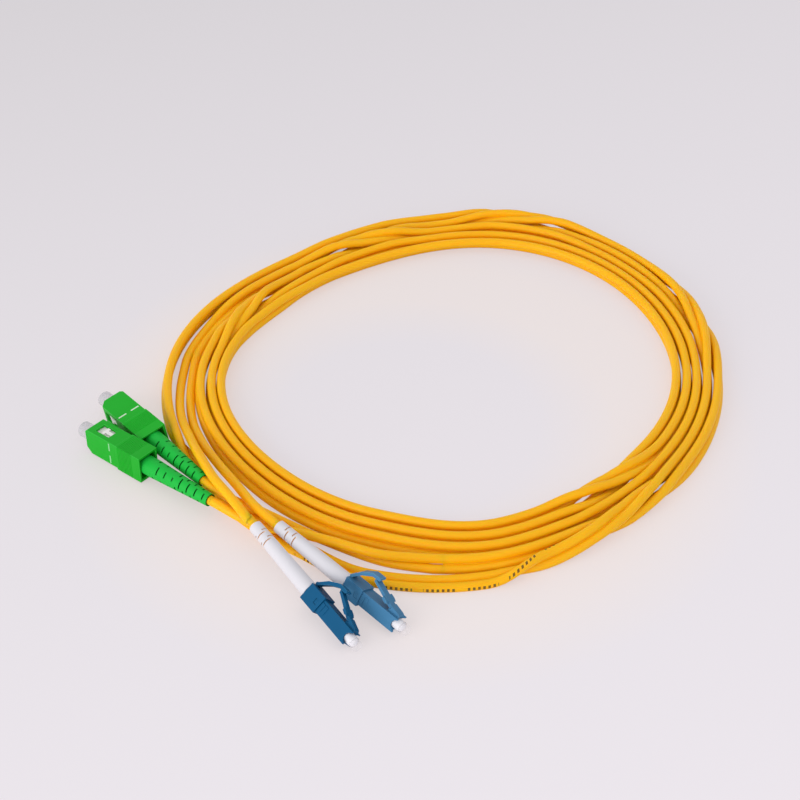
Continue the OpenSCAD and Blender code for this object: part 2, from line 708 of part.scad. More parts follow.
module sc_flange() {
    flange(sc_bore - 0.4, sc_ferrule_d, 2.7, sc_flange_from, sc_shoulder - fit_gap, sc_ring_to - 1, sc_seat);
}
module sc_spring() {
    spring(1.87, sc_ring_to, sc_flange_from);
}
module sc_backpost() {
    backpost(sc_bore - fit_gap, sc_cavity_h - 0.5, sc_ring_to, sc_frame_from, 2.5, sc_tail_from, 3.3);
}
module sc_crimp() {
    crimp(sc_crimp_from, sc_boot_in - 0.3);
}
module sc_jacket_end() {
    jacket_end(-sc_boot_l - jacket_out, sc_tail_from - 0.1);
}
module sc_fibre() {
    fibre(-sc_boot_l - jacket_out, sc_seat - ferrule_travel - 0.3);
}
module lc_ferrule() {
    ferrule(lc_ferrule_d, lc_seat, lc_l - 0.6, 0);
}
module lc_flange() {
    flange(lc_bore - 0.4, lc_ferrule_d, 1.6, lc_flange_from, lc_shoulder - fit_gap, lc_ring_to + 1.1, lc_seat);
}
module lc_spring() {
    spring(1.25, lc_ring_to, lc_flange_from);
}
module lc_backpost() {
    backpost(lc_bore - fit_gap, crimp_d, lc_ring_to, lc_ring_from, lc_collar_from, lc_tail_from, 1.9);
}
module lc_crimp() {
    crimp(lc_crimp_from, lc_collar_from - 0.2);
}
module lc_jacket_end() {
    jacket_end(-lc_boot_l - jacket_out, lc_tail_from - 0.1);
}
module lc_fibre() {
    fibre(-lc_boot_l - jacket_out, lc_seat - ferrule_travel - 0.3);
}

duplex_cord();
sc_leg(0);  // sc_1_leg
sc_leg(1);  // sc_2_leg
lc_leg(0);  // lc_1_leg
lc_leg(1);  // lc_2_leg
in_sc(0) sc_grip();  // sc_1_grip
in_sc(0) sc_marks();  // sc_1_marks
in_sc(0) sc_plug_frame();  // sc_1_plug_frame
in_sc(0) sc_ferrule();  // sc_1_ferrule
in_sc(0) sc_flange();  // sc_1_flange
in_sc(0) sc_spring();  // sc_1_spring
in_sc(0) sc_backpost();  // sc_1_backpost
in_sc(0) sc_crimp();  // sc_1_crimp
in_sc(0) sc_boot();  // sc_1_boot
in_sc(0) sc_jacket_end();  // sc_1_jacket_end
in_sc(0) sc_fibre();  // sc_1_fibre
in_sc(0) sc_dust_cap();  // sc_1_dust_cap
in_sc(1) sc_grip();  // sc_2_grip
in_sc(1) sc_marks();  // sc_2_marks
in_sc(1) sc_plug_frame();  // sc_2_plug_frame
in_sc(1) sc_ferrule();  // sc_2_ferrule
in_sc(1) sc_flange();  // sc_2_flange
in_sc(1) sc_spring();  // sc_2_spring
in_sc(1) sc_backpost();  // sc_2_backpost
in_sc(1) sc_crimp();  // sc_2_crimp
in_sc(1) sc_boot();  // sc_2_boot
in_sc(1) sc_jacket_end();  // sc_2_jacket_end
in_sc(1) sc_fibre();  // sc_2_fibre
in_sc(1) sc_dust_cap();  // sc_2_dust_cap
in_lc(0) lc_front_body();  // lc_1_front_body
in_lc(0) lc_latch();  // lc_1_latch
in_lc(0) lc_rear_body();  // lc_1_rear_body
in_lc(0) lc_trigger();  // lc_1_trigger
in_lc(0) lc_ferrule();  // lc_1_ferrule
in_lc(0) lc_flange();  // lc_1_flange
in_lc(0) lc_spring();  // lc_1_spring
in_lc(0) lc_backpost();  // lc_1_backpost
in_lc(0) lc_crimp();  // lc_1_crimp
in_lc(0) lc_boot();  // lc_1_boot
in_lc(0) lc_jacket_end();  // lc_1_jacket_end
in_lc(0) lc_fibre();  // lc_1_fibre
in_lc(0) lc_dust_cap();  // lc_1_dust_cap
in_lc(1) lc_front_body();  // lc_2_front_body
in_lc(1) lc_latch();  // lc_2_latch
in_lc(1) lc_rear_body();  // lc_2_rear_body
in_lc(1) lc_trigger();  // lc_2_trigger
in_lc(1) lc_ferrule();  // lc_2_ferrule
in_lc(1) lc_flange();  // lc_2_flange
in_lc(1) lc_spring();  // lc_2_spring
in_lc(1) lc_backpost();  // lc_2_backpost
in_lc(1) lc_crimp();  // lc_2_crimp
in_lc(1) lc_boot();  // lc_2_boot
in_lc(1) lc_jacket_end();  // lc_2_jacket_end
in_lc(1) lc_fibre();  // lc_2_fibre
in_lc(1) lc_dust_cap();  // lc_2_dust_cap
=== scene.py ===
import json
import math
import bmesh
import bpy
import numpy as np
from mathutils import Euler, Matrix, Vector


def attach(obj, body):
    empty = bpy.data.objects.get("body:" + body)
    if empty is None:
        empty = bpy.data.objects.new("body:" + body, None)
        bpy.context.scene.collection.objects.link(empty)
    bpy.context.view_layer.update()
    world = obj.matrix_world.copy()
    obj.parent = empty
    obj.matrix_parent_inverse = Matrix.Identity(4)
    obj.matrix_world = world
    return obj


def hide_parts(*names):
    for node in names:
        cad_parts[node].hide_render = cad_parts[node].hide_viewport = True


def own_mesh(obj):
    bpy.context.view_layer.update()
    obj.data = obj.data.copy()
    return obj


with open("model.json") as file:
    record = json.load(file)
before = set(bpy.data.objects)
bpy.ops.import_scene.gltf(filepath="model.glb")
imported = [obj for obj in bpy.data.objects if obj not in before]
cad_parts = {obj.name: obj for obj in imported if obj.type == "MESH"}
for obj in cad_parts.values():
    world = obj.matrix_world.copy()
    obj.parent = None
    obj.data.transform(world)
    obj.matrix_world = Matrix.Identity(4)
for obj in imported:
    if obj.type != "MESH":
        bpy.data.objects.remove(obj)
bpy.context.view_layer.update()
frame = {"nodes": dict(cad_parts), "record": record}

MM = 0.001
# The layout is given about this point of the table, which is the part's origin
datum = np.array([2.9, -2.44, 0.0])

# --- Camera ---------------------------------------------------------------
# It stands on the plugs' side of the coil and looks down at it by about forty degrees,
# through a lens about twice as long as its sensor is wide.
sensor_w, lens_share, look_down = 36.0, 2.05125, 39.9
camera_stand = np.array([0.0, -425.5, 355.7])
scene = bpy.context.scene
scene.view_settings.view_transform = "Standard"
camera_data = bpy.data.cameras.new("camera")
camera_data.sensor_width = sensor_w
camera_data.lens = sensor_w * lens_share
camera_data.clip_end = 10.0
camera = bpy.data.objects.new("camera", camera_data)
camera.location = (camera_stand - datum) * MM
camera.rotation_euler = Euler((math.radians(90.0 - look_down), 0.0, 0.0))
scene.collection.objects.link(camera)
scene.camera = camera


# --- The coiled two-fibre cord --------------------------------------------
# Two yellow jackets extruded side by side with a thin web, wound into a loose flat
# coil. Neighbouring turns roll over each other in six places, as hand-wound cord does.
jacket_r = 1.5
strand_spacing = 3.1
coil_centre = np.array([16.0, 10.0, 0.0]) - datum
# Radius of the outermost turn, with its cosine and sine swings at one to four waves a turn
coil_r = 93.8
coil_waves = [(0.36, 1.23), (-0.93, 4.25), (-1.68, 0.52), (0.89, -0.89)]
turn_start = -92.0
turn_end = 172.0 + 4 * 360.0
# Lane of each pass at its start, counted inwards, and the distance between two lanes
start_lanes = np.array([2, 1, 4, 5, 3])
lane_pitch, pitch_swing = 4.0, 0.5
# Extra inset on the left: angle and ramp where it comes and where it goes, its size, and
# the shares of it that the second lane and each further one add
left_from, left_to, left_inset = (122.0, 34.0), (282.0, 30.0), 4.2
second_share, further_share = 0.48, 0.52
# Angle, half spread, outer lane, direction, push outwards
swaps = [
    (-52, 24, 1, 1, 0.0), (-48, 22, 4, -1, 0.0), (20, 24, 1, -1, 0.6),
    (70, 20, 1, 1, 0.0), (112, 20, 2, -1, 0.0), (153, 19, 3, 1, 0.45),
]
# Flat-lying stretches: from, to, ramp, shift inwards
flats = [
    (211.0, 240.0, 14.0, 1.4), (254.0, 276.0, 14.0, -1.5), (turn_end - 8.0, turn_end + 60.0, 22.0, 0.0),
]
# A standing pair's lean in degrees and its swing, how many lanes off a roll-over still
# rights it and how early, the room of a roll-over, and how deep a pair sits
lean_mean, lean_swing = 25.0, 13.0
righting_lanes, righting_rate = 2.0, 1.6
roll_room, sit = 0.75, 0.3


def eased(t):
    """A step from 0 to 1 that starts and ends level: 3 t^2 - 2 t^3."""
    c = np.clip(t, 0.0, 1.0)
    return c * c * (3.0 - 2.0 * c)


def outer_radius(a):
    """Distance of the outermost turn from the coil's centre: a circle plus four waves."""
    t = np.radians(a)
    waves = [c * np.cos(k * t) + s * np.sin(k * t) for k, (c, s) in enumerate(coil_waves, 1)]
    return coil_r + sum(waves)


def lane_radius(lane, a):
    """Distance of a lane from the coil's centre: the outermost turn's, less a pitch a lane
    that swells and shrinks twice a turn, less an extra inset on the left."""
    pitch = lane_pitch - pitch_swing * np.cos(np.radians(2 * a))
    turn = (a + 720.0) % 360.0
    left = eased((turn - left_from[0]) / left_from[1]) * eased((left_to[0] - turn) / left_to[1])
    inner_share = np.minimum(1.0, second_share + further_share * (lane - 2))
    share = np.where(lane <= 2, second_share * (lane - 1), inner_share)
    return outer_radius(a) - (lane - 1) * pitch - left_inset * left * share, pitch


def pair_tilt(turn, lane):
    """Lean of a standing pair towards the coil's middle, in degrees: more at the front and
    back than at the sides, and none while it rolls or a turn near it does."""
    rolling = []
    for centre, spread, outer, _, _ in swaps:
        under_way = np.sin(np.pi * eased((turn - centre + spread) / (2.0 * spread)))
        rolling.append(under_way * (np.abs(lane - outer - 0.5) < righting_lanes))
    upright = np.minimum(1.0, righting_rate * np.maximum.reduce(rolling))
    return (lean_mean - lean_swing * np.cos(np.radians(2 * turn))) * (1.0 - upright)


def lane_state(turn, lane):
    """Follows a pass through the roll-overs in order of angle: each one that is over moves
    it to the next lane, and the one under way gives its side, angle, way and push."""
    lane = lane.astype(float).copy()
    twist, side, roll = np.zeros_like(turn), np.zeros_like(turn), np.zeros_like(turn)
    way, push = np.zeros_like(turn), np.zeros_like(turn)
    busy = np.zeros(turn.shape, bool)
    for centre, spread, outer, direction, outwards in swaps:
        angle = 180.0 * eased((turn - centre + spread) / (2.0 * spread))
        out, inn = lane == outer, lane == outer + 1
        part = (out | inn) & ~busy & (angle > 0)
        over, under_way = part & (angle >= 180.0), part & (angle < 180.0)
        step = np.where(out, 1.0, -1.0)
        twist = np.where(over, twist + 180.0 * direction, twist)
        twist = np.where(under_way, twist + angle * direction, twist)
        side, roll = np.where(under_way, step, side), np.where(under_way, angle, roll)
        way, push = np.where(under_way, direction, way), np.where(under_way, outwards, push)
        lane = np.where(over, lane + step, lane)
        lane = np.where(under_way, outer + 0.5, lane)
        busy |= under_way
    return lane, side, twist, roll, way, push


def cord_frame(a):
    """Centre of the cord, its angle round the coil and the lean of its two jackets, both in
    radians, at winding angles a in degrees."""
    p = np.clip(np.floor((a - turn_start) / 360.0), 0, 4).astype(int)
    turn = a - 360.0 * p
    ends = lane_state(np.full(5, turn_start + 360.0), start_lanes)[2]
    before = np.concatenate([[0.0], np.cumsum(ends)[:-1]])
    lane, side, twist, roll, way, push = lane_state(turn, start_lanes[p])
    share = [eased((a - f0 + ramp) / ramp) * eased((f1 + ramp - a) / ramp) for f0, f1, ramp, _ in flats]
    flat = np.sum(share, axis=0)
    shift = np.sum([s * f[3] for s, f in zip(share, flats)], axis=0)
    lean = np.radians(90.0 + before[p] + twist + pair_tilt(turn, lane) * (1.0 - flat) - 90.0 * flat)
    radius, pitch = lane_radius(lane, turn)
    sine, cosine = np.sin(np.radians(roll)), np.cos(np.radians(roll))
    radius = radius + side * cosine * pitch / 2.0 + np.abs(side) * push * sine - shift
    lift = np.abs(side) * (1.0 + side * way) * sine * (2 * jacket_r + roll_room) / 2.0
    rest = jacket_r + strand_spacing / 2.0 * np.abs(np.sin(lean)) - sit
    t = np.radians(a)
    centre = coil_centre + np.stack([radius * np.cos(t), radius * np.sin(t), rest + lift], -1)
    return centre, t, lean


def wander(a, seed):
    """A slow, small sway along the winding: three sines of unrelated lengths."""
    t = np.radians(a)
    waves = [(1.0, 1.7, seed), (0.7, 4.3, 2.1 * seed), (0.4, 9.1, seed * seed)]
    return sum(size * np.sin(rate * t + phase) for size, rate, phase in waves) / 2.1


def distance_along(path):
    """Metres run at each point of a path in millimetres: the lengths of its steps, summed."""
    return np.concatenate([[0.0], np.cumsum(np.linalg.norm(np.diff(path, axis=0), axis=1))]) * MM


def tube_mesh(name, rings, along_m, creases=()):
    """Joins equal rings into a closed tube, with fans over both ends. The UV runs along
    the length in metres, and once round from 0 to 1. The lines through the points of the
    rings whose numbers are in creases are sharp."""
    count, sides = rings.shape[:2]
    index = np.arange(count * sides).reshape(count, sides)
    right = np.roll(index, -1, axis=1)
    quads = np.stack([index[:-1], right[:-1], right[1:], index[1:]], -1).reshape(-1, 4)
    middles = np.array([rings[0].mean(0), rings[-1].mean(0)])
    first, last = count * sides, count * sides + 1
    caps = np.concatenate([
        np.stack([np.full(sides, first), right[0], index[0]], -1),
        np.stack([np.full(sides, last), index[-1], right[-1]], -1),
    ])
    mesh = bpy.data.meshes.new(name)
    points = np.concatenate([rings.reshape(-1, 3), middles]) * MM
    mesh.from_pydata(points.tolist(), [], quads.tolist() + caps.tolist())
    uv = mesh.uv_layers.new(name="along")
    s, t = np.arange(count - 1)[:, None], np.arange(sides)[None, :]
    once_round = np.linspace(0, 1, sides + 1)
    loop_uv = np.stack([
        np.stack([along_m[s + ds] + 0 * t, once_round[t + dt] + 0 * s], -1)
        for ds, dt in ((0, 0), (0, 1), (1, 1), (1, 0))
    ], 2).reshape(-1, 2)
    flat_uv = np.concatenate([loop_uv, np.zeros((len(caps) * 3, 2))])
    uv.data.foreach_set("uv", flat_uv.ravel())
    mesh.polygons.foreach_set("use_smooth", np.ones(len(mesh.polygons), bool))
    # The rims of the two flat ends are sharp
    pairs = np.empty(len(mesh.edges) * 2, int)
    mesh.edges.foreach_get("vertices", pairs)
    ring_of = pairs.reshape(-1, 2) // sides
    rim = (ring_of == 0).all(axis=1) | (ring_of == count - 1).all(axis=1)
    column = pairs.reshape(-1, 2) % sides
    lengthwise = (column[:, 0] == column[:, 1]) & (ring_of < count).all(axis=1)
    crease = lengthwise & np.isin(column[:, 0], creases)
    mesh.edges.foreach_set("use_edge_sharp", rim | crease)
    mesh.update()
    piece = bpy.data.objects.new(name, mesh)
    scene.collection.objects.link(piece)
    return piece


def zip_outline(per_side):
    """Section of the cord: two circles joined by a thin web, as (through, across)."""
    open_angle = math.radians(15.0)
    t = np.linspace(-math.pi + open_angle, math.pi - open_angle, per_side)
    one = np.stack([jacket_r * np.sin(t), strand_spacing / 2.0 + jacket_r * np.cos(t)], -1)
    return np.concatenate([one, -one])


# Rings of the coil, points round each jacket, and the least height over the table
coil_steps, strand_sides, table_gap = 1140, 16, 0.02
# The hand's unevenness: it fades in over some degrees, leans by radians and sways by
# millimetres, each with its own seed
fade_run, slow_lean, slow_sway, lean_seed, sway_seed = 12.0, 0.10, 0.16, 2.3, 0.7
coil_a = np.linspace(turn_start, turn_end, coil_steps)
centre, coil_t, lean = cord_frame(coil_a)
fade = eased((coil_a - turn_start) / fade_run) * eased((turn_end - coil_a) / fade_run)
lean = lean + slow_lean * fade * wander(coil_a, lean_seed)
sway = slow_sway * fade * wander(coil_a, sway_seed)
radial = np.stack([np.cos(coil_t), np.sin(coil_t), 0 * coil_t], -1)
upward = np.array([0.0, 0.0, 1.0])
coil_path = centre + radial * sway[:, None]
across = radial * np.cos(lean)[:, None] + upward * np.sin(lean)[:, None]
through = upward * np.cos(lean)[:, None] - radial * np.sin(lean)[:, None]
outline = zip_outline(strand_sides)
coil_rings = (
    coil_path[:, None] + outline[None, :, 1:] * across[:, None] + outline[None, :, :1] * through[:, None]
)
coil_rings[..., 2] = np.maximum(coil_rings[..., 2], table_gap)
coil_along = distance_along(coil_path)
web_corners = (0, strand_sides - 1, strand_sides, 2 * strand_sides - 1)
coil_cord = tube_mesh("coil_cord", coil_rings[:, ::-1], coil_along, web_corners)
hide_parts("duplex_cord")
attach(coil_cord, "cord_and_plug_cores")
tuple(coil_path[0] * MM)
[tuple(p) for p in coil_path[::4] * MM]


# --- The four split legs --------------------------------------------------
# Past each end of the coil the web is slit and each jacket runs alone to its plug's boot.
# The legs ride over the outermost turn and over each other as they lie.

# The plugs lie in the corner between the coil's tangents at 203 and 247 degrees
corner_way, corner_half = math.radians(225.0), math.radians(22.0)
corner_reach = coil_r / math.cos(corner_half)
corner = coil_centre + corner_reach * np.array([math.cos(corner_way), math.sin(corner_way), 0])
# Each plug: its rear face from that corner, heading, nose-down pitch and roll
sc_poses = [(-24.3, 22.8, 141.2, 1.6, 92.2), (-23.6, 34.7, 130.8, 2.4, 173.0)]
lc_poses = [(29.4, -32.0, -54.0, 5.5, -50.5), (40.3, -28.5, -44.2, 5.5, -28.0)]
# The corners that a plug may rest on, from its length and half sizes; the SC has a key
sc_l, sc_half_w, sc_half_h, key_half_w, key_reach = 23.5, 4.5, 3.7, 1, 4.35
lc_l, lc_half_w = 21.0, 2.26
sc_corners = [(sc_l, y, z) for y in (-sc_half_w, sc_half_w) for z in (-sc_half_h, sc_half_h)]
sc_corners += [(sc_l, y, key_reach) for y in (-key_half_w, key_half_w)]
lc_corners = [(lc_l, y, z) for y in (-lc_half_w, lc_half_w) for z in (-lc_half_w, lc_half_w)]
# Where each leg runs beside the coil: angle, distance outside the outermost turn, height
beside = {
    "sc_1": [(255.9, -5.6, 4.4), (246.4, -5.7, 4.6), (239.8, -3.9, 4.7)],
    "sc_2": [(255.8, -6.1, 1.2), (242.9, -7.9, 1.3), (235.4, -7.0, 2.0)],
    "lc_1": [(183.8, -4.5, 1.3), (194.1, -3.8, 3.4), (204.0, -3.2, 5.7)],
    "lc_2": [(185.3, -8.0, 1.3), (194.9, -7.2, 1.9), (203.7, -6.6, 4.0)],
}
# Where it then crosses to its boot, from the corner
crossing = {
    "sc_1": [(16.5, -5.0, 4.6), (8.5, -2.0, 5.0)],
    "sc_2": [(12.5, 3.0, 4.0), (4.5, 6.5, 5.0)],
    "lc_1": [(-7.8, 23.3, 8.8), (-2.5, 11.7, 10.4), (2.9, 4.1, 9.8), (9.1, -4.7, 8.7)],
    "lc_2": [(-2.9, 24.1, 5.6), (4.1, 12.1, 7.4), (10.4, 1.8, 8.2)],
}
# A leg stops this far behind its boot's tail, where the plug's own end of jacket begins
boot_lengths, jacket_out = {"sc": 27.0, "lc": 30.0}, 1.0
straight_run, span_parts, leg_sides = 3.0, 14, 24


def plug_angles(pose):
    """Roll, nose-down pitch and heading of a plug in radians, which turn it in that order."""
    heading, pitch, roll = [math.radians(v) for v in pose[2:]]
    return roll, pitch, heading


def plug_place(pose, corners):
    """Turn and foot of a plug whose lowest given corner rests on the table."""
    turn = np.array(Euler(plug_angles(pose), "XYZ").to_matrix())
    height = -min((turn @ np.array(c))[2] for c in corners)
    return turn, corner + np.array([pose[0], pose[1], height])


def smooth_line(points, parts):
    """Catmull-Rom curve through the points, cut into equal parts a span, with its two
    straight ends kept."""
    p = np.array(points, float)
    t = np.linspace(0.0, 1.0, parts, endpoint=False)[None, :, None]
    a, b, c, d = p[:-3, None], p[1:-2, None], p[2:-1, None], p[3:, None]
    square, cube = 2 * a - 5 * b + 4 * c - d, 3 * b - a - 3 * c + d
    curve = b + (c - a) * t / 2 + square * t**2 / 2 + cube * t**3 / 2
    return np.concatenate([p[:1], curve.reshape(-1, 3), p[-2:]])


def round_rings(path, first_way, last_way, radius, sides):
    """Circles square to a path, carried level: sideways is across the path and the table."""
    way = np.gradient(path, axis=0)
    way[0], way[-1] = first_way, last_way
    way /= np.linalg.norm(way, axis=1)[:, None]
    side = np.cross(way, [0.0, 0.0, 1.0])
    side /= np.linalg.norm(side, axis=1)[:, None]
    rise = np.cross(side, way)
    t = np.linspace(0.0, 2 * math.pi, sides, endpoint=False)
    return (
        path[:, None]
        + radius * np.cos(t)[None, :, None] * rise[:, None]
        + radius * np.sin(t)[None, :, None] * side[:, None]
    )


sc_places = [plug_place(pose, sc_corners) for pose in sc_poses]
lc_places = [plug_place(pose, lc_corners) for pose in lc_poses]
leg_cords = []
for name in beside:
    kind, number = name.split("_")
    polar = np.array(beside[name])
    reach, way = outer_radius(polar[:, 0]) + polar[:, 1], np.radians(polar[:, 0])
    inner = list(coil_centre + np.stack([reach * np.cos(way), reach * np.sin(way), polar[:, 2]], -1))
    inner += [corner + np.array(p) for p in crossing[name]]
    end_angle, sign = (turn_start, -1.0) if kind == "sc" else (turn_end, 1.0)
    frame_centre, frame_t, frame_lean = [v[0] for v in cord_frame(np.array([end_angle]))]
    outwards = np.array([math.cos(frame_t), math.sin(frame_t), 0.0])
    half = (1.0 if number == "1" else -1.0) * strand_spacing / 2.0
    start = frame_centre + half * (outwards * math.cos(frame_lean) + upward * math.sin(frame_lean))
    leave = sign * np.array([-math.sin(frame_t), math.cos(frame_t), 0.0])
    turn, foot = (sc_places if kind == "sc" else lc_places)[int(number) - 1]
    finish = foot + turn @ np.array([-boot_lengths[kind] - jacket_out, 0.0, 0.0])
    enter = turn @ np.array([1.0, 0.0, 0.0])
    points = [start, start + leave * straight_run] + inner + [finish - enter * straight_run, finish]
    path = smooth_line(points, span_parts)
    rings = round_rings(path, leave, enter, jacket_r, leg_sides)
    rings[..., 2] = np.maximum(rings[..., 2], table_gap)
    along = distance_along(path)
    leg_piece = tube_mesh(f"{name}_leg_jacket", rings[:, ::-1], along)
    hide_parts(f"{name}_leg")
    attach(leg_piece, "cord_and_plug_cores")
    tuple(finish * MM)
    leg_cords.append(leg_piece)


# --- Jacket material ------------------------------------------------------
# Smooth yellow PVC with a soft sheen, a little uneven in tone along its length, that light
# enters and leaves again more orange. The coil carries a row of printed ticks.
class Sock:
    """A shader socket that builds Math nodes from Python arithmetic."""

    def __init__(self, paint, socket):
        self.paint, self.socket = paint, socket

    def calc(self, operation, other=None):
        node = self.paint.tree.nodes.new("ShaderNodeMath")
        node.operation = operation
        for place, value in enumerate((self, other)):
            if isinstance(value, Sock):
                self.paint.tree.links.new(value.socket, node.inputs[place])
            elif value is not None:
                node.inputs[place].default_value = value
        return Sock(self.paint, node.outputs[0])

    def __add__(self, other):
        return self.calc("ADD", other)

    def __sub__(self, other):
        return self.calc("SUBTRACT", other)

    def __mul__(self, other):
        return self.calc("MULTIPLY", other)

    def __pow__(self, other):
        return self.calc("POWER", other)

    def __gt__(self, other):
        return self.calc("GREATER_THAN", other)

    def __lt__(self, other):
        return self.calc("LESS_THAN", other)

    def share_of(self, pitch):
        """How far along its own stretch of the given pitch a distance is, from 0 to 1."""
        return (self * (1 / pitch)).calc("FRACT")


class Paint:
    """A material in the making: its Principled shader, and nodes added by type."""

    def __init__(self, name, **constants):
        self.material = bpy.data.materials.new(name)
        self.material.use_nodes = True
        self.tree = self.material.node_tree
        self.shader = self.tree.nodes["Principled BSDF"]
        for key, value in constants.items():
            self.shader.inputs[key.replace("_", " ")].default_value = value

    def node(self, kind, settings=None, out=0, **inputs):
        """Adds a node: its settings first, then the values or links of its sockets, which
        go by name, or by number as i0, i1 and so on."""
        node = self.tree.nodes.new(kind)
        for key, value in (settings or {}).items():
            setattr(node, key, value)
        for key, value in inputs.items():
            key = int(key[1:]) if key[0] == "i" and key[1:].isdigit() else key.replace("_", " ")
            if isinstance(value, Sock):
                self.tree.links.new(value.socket, node.inputs[key])
            else:
                node.inputs[key].default_value = value
        return Sock(self, node.outputs[out])

    def feed(self, **links):
        for key, value in links.items():
            self.tree.links.new(value.socket, self.shader.inputs[key.replace("_", " ")])

    def mix(self, factor, a, b):
        """Mix of two colours, whose sockets are 0, 6 and 7 in and 2 out."""
        return self.node("ShaderNodeMix", {"data_type": "RGBA"}, 2, i0=factor, i6=a, i7=b)

    def point(self):
        """The piece's own coordinates in metres, from the Object output."""
        return self.node("ShaderNodeTexCoord", out=3)

    def split(self, vector):
        """The three parts of a vector."""
        parts = self.node("ShaderNodeSeparateXYZ", Vector=vector).socket.node
        return [Sock(self, output) for output in parts.outputs]

    def noise(self, scale, detail=2.0):
        return self.node("ShaderNodeTexNoise", Vector=self.point(), Scale=scale, Detail=detail)

    def drift(self, scale, deep, light):
        """A colour that drifts between two tones, over patches of about 1 / scale metres."""
        return self.mix(self.noise(scale, 3.0), srgb(deep), srgb(light))

    def sheen(self, scale, least, spread, detail=2.0):
        """Feeds an uneven roughness: least + spread * noise."""
        self.feed(Roughness=self.noise(scale, detail) * spread + least)

    def grain(self, scale, strength, distance):
        """Feeds a fine grain: noise as a bump of the given strength and height in metres."""
        height = self.noise(scale)
        self.feed(Normal=self.node("ShaderNodeBump", Strength=strength, Distance=distance, Height=height))

    def axes(self, place, turn):
        """Distances in millimetres along a plug's own axes, forward from its rear face."""
        own = self.node(
            "ShaderNodeMapping", {"vector_type": "TEXTURE"}, Vector=self.point(),
            Location=tuple(place * MM), Rotation=tuple(turn), Scale=(MM, MM, MM),
        )
        return self.split(own)


def srgb(code):
    """Linear colour of a hexadecimal screen colour."""
    value = np.array([int(code[i:i + 2], 16) / 255.0 for i in (0, 2, 4)])
    linear = np.where(value <= 0.04045, value / 12.92, ((value + 0.055) / 1.055) ** 2.4)
    return tuple(float(v) for v in linear) + (1.0,)


def jacket_paint(name):
    """Yellow PVC without its colour yet, and that colour: a drift between two tones."""
    paint = Paint(
        name, Subsurface_Weight=0.6, Subsurface_Radius=(1.0, 0.42, 0.04), Subsurface_Scale=0.0015,
        Specular_IOR_Level=0.25, IOR=1.46,
    )
    paint.sheen(700.0, 0.36, 0.14)
    paint.grain(1500.0, 0.12, 0.0002)
    return paint, paint.drift(18.0, "FFB604", "FFC110")


jacket, plain_yellow = jacket_paint("yellow_jacket")
jacket.feed(Base_Color=plain_yellow)
for piece in leg_cords:
    piece.data.materials.append(jacket.material)

# The printed row: its run along the coil in metres, its place round the section, and the
# pitch and filled share of its ticks and of its groups of ticks
row_from, row_to, row_low, row_high = 0.538, 0.622, 0.19, 0.25
tick_pitch, tick_share, group_pitch, group_share = 0.0015, 0.5, 0.0126, 0.75
printed, plain_yellow = jacket_paint("printed_jacket")
run, round_share, _ = printed.split(printed.node("ShaderNodeUVMap", {"uv_map": "along"}))
in_row = (round_share > row_low) * (round_share < row_high) * (run > row_from) * (run < row_to)
ticks = (run.share_of(tick_pitch) < tick_share) * (run.share_of(group_pitch) < group_share)
printed.feed(Base_Color=printed.mix(in_row * ticks, plain_yellow, srgb("7A5C22")))
coil_cord.data.materials.append(printed.material)


# --- SC grips -------------------------------------------------------------
# Green moulded sleeves that slide over the plug's frame: ribbed towards the rear, with
# a window on each side and two white marks set into the underside.
# The body of each node, and the foot and angles of each plug
node_body = {node: body for body, nodes in frame["record"]["behaviour"]["bodies"].items() for node in nodes}
plug_of = {}
for number in (1, 2):
    for kind, poses, places in (("sc", sc_poses, sc_places), ("lc", lc_poses, lc_places)):
        plug_of[f"{kind}_{number}"] = (places[number - 1][1], plug_angles(poses[number - 1]))
# The ribbed section: its half width and half height, the moulded and the worn depth of
# the grooves, where they run, how near its groove's floor a point of it lies, and how
# near the outside a point of the ribs does
rib_half, groove_depth, worn_depth, rib_run = np.array([4.75, 3.95]), 0.2, 0.08, (3.5, 10.1)
floor_band, rib_band = 0.02, 0.25
# Doubles closer than this are merged, faces flatter are joined and edges sharper rounded
doubles_m, flat_angle, sharp_angle = 2e-6, math.radians(0.6), math.radians(30.0)


def plug_axes(plug):
    """A plug's rear middle, and its axes as columns: forward, sideways and up."""
    place, turn = plug_of[plug]
    return place, np.array(Euler(turn, "XYZ").to_matrix())


